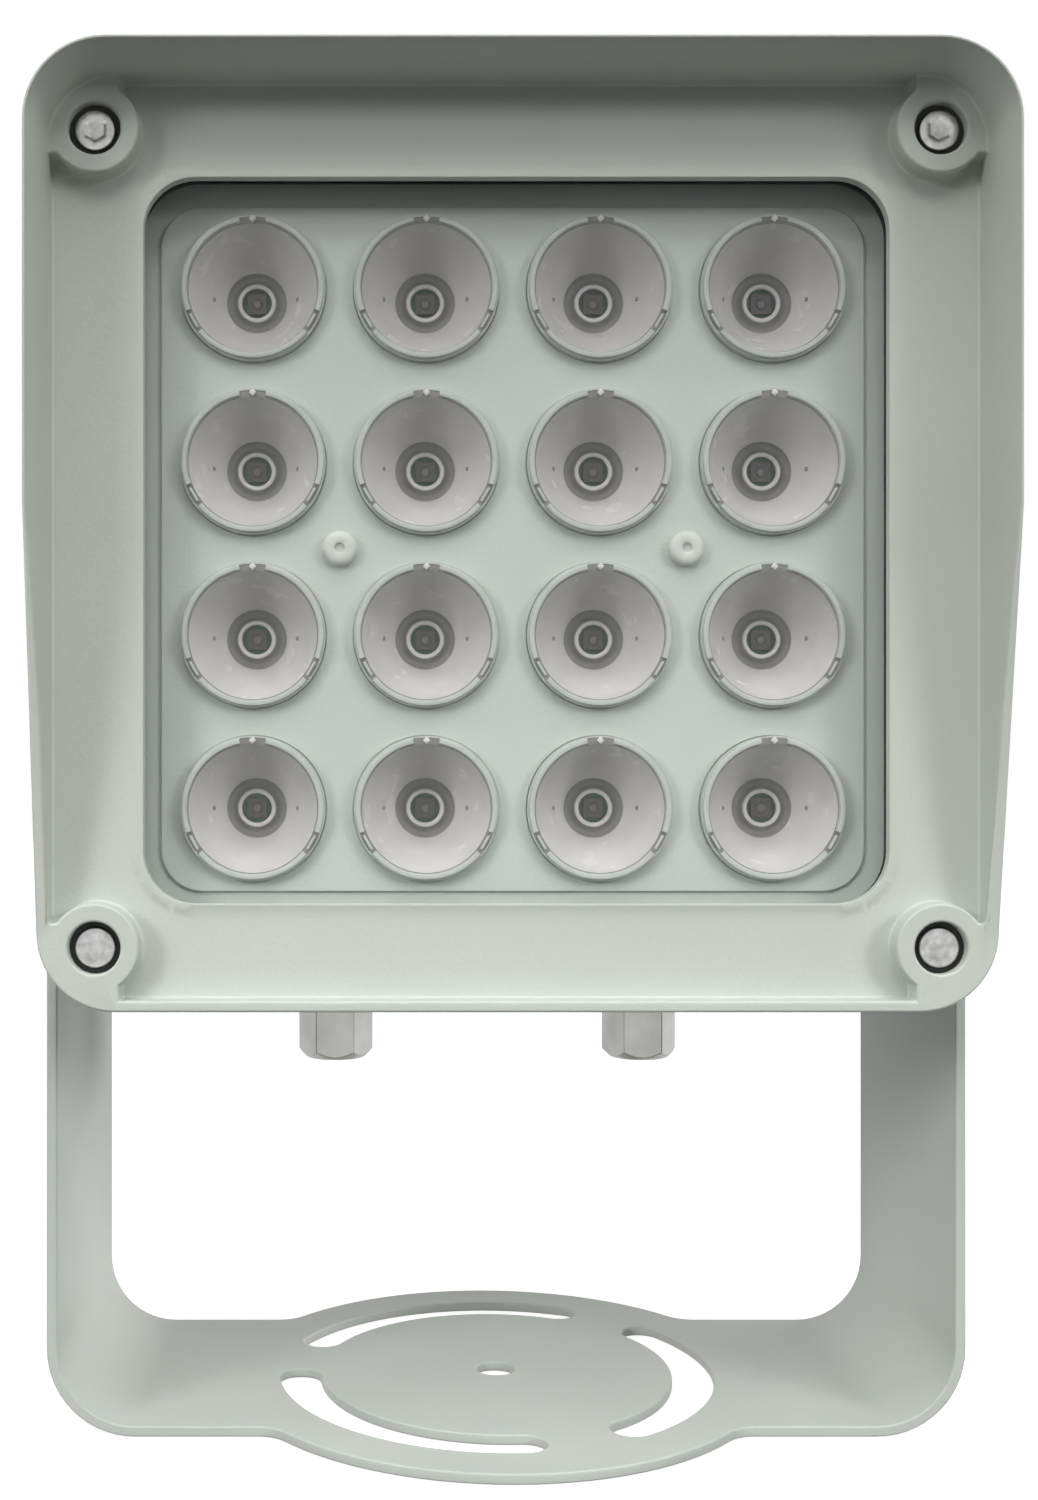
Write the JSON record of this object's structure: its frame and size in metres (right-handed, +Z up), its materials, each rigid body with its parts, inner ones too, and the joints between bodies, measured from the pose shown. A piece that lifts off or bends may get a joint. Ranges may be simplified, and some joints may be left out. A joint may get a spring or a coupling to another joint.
{
  "type": "infrared illuminator",
  "caption": "Hooded square infrared illuminator with a grid of lensed emitters behind glass, tilting in a bent sheet bracket with a slotted round base",
  "frame": {"origin": "centre of the bracket's centre hole, on the underside of its base", "axes": "+Z up, the lamp looks along -Y at rest, +X along the tilt axis to the right as seen from the front"},
  "size_m": [0.222, 0.1503, 0.2965],
  "materials": {
    "lamp_paint": "satin light greenish grey paint on cast aluminium",
    "bracket_paint": "satin light greenish grey paint on steel sheet",
    "window_glass": "clear tempered glass",
    "black_rubber": "matte",
    "satin_steel": "stainless, satin",
    "tray_plastic": "moulded, fine matte",
    "white_nylon": "moulded nylon",
    "board_laminate": "solder mask",
    "bare_aluminium": "mill finish",
    "dark_plastic": "moulded",
    "clear_acrylic": "polished clear moulding",
    "led_ceramic": "ceramic package under a clear cap",
    "nickel_plate": "nickel plated brass, satin"
  },
  "bodies": {
    "bracket": {"bracket": "bracket_paint"},
    "lamp": {"front_frame": "lamp_paint", "front_glass": "window_glass", "glass_gasket": "black_rubber", "frame_gasket": "black_rubber", "frame_screws": "satin_steel", "frame_screw_seals": "black_rubber", "rear_housing": "lamp_paint", "lens_tray": "tray_plastic", "tray_screws": "white_nylon", "led_board": "board_laminate", "heat_spreader": "bare_aluminium", "spreader_screws": "satin_steel", "driver_board": "board_laminate", "driver_coil": "dark_plastic", "driver_capacitor": "bare_aluminium", "driver_terminal": "dark_plastic", "driver_screws": "satin_steel", "lens_row_1": "clear_acrylic", "lens_row_2": "clear_acrylic", "lens_row_3": "clear_acrylic", "lens_row_4": "clear_acrylic", "led_row_1": "led_ceramic", "led_row_2": "led_ceramic", "led_row_3": "led_ceramic", "led_row_4": "led_ceramic", "gland_body_left": "nickel_plate", "gland_body_right": "nickel_plate", "gland_nut_left": "nickel_plate", "gland_nut_right": "nickel_plate", "gland_seals": "black_rubber", "gland_locknuts": "nickel_plate", "pivot_bolt_left": "satin_steel", "pivot_bolt_right": "satin_steel", "pivot_washers": "satin_steel", "pivot_discs": "white_nylon"}
  },
  "joints": [
    {"name": "tilt", "type": "hinge", "parent": "bracket", "child": "lamp", "pos_m": [0, 0, 0.1985], "axis": [1, 0, 0], "range_deg": [-90, 90]}
  ]
}
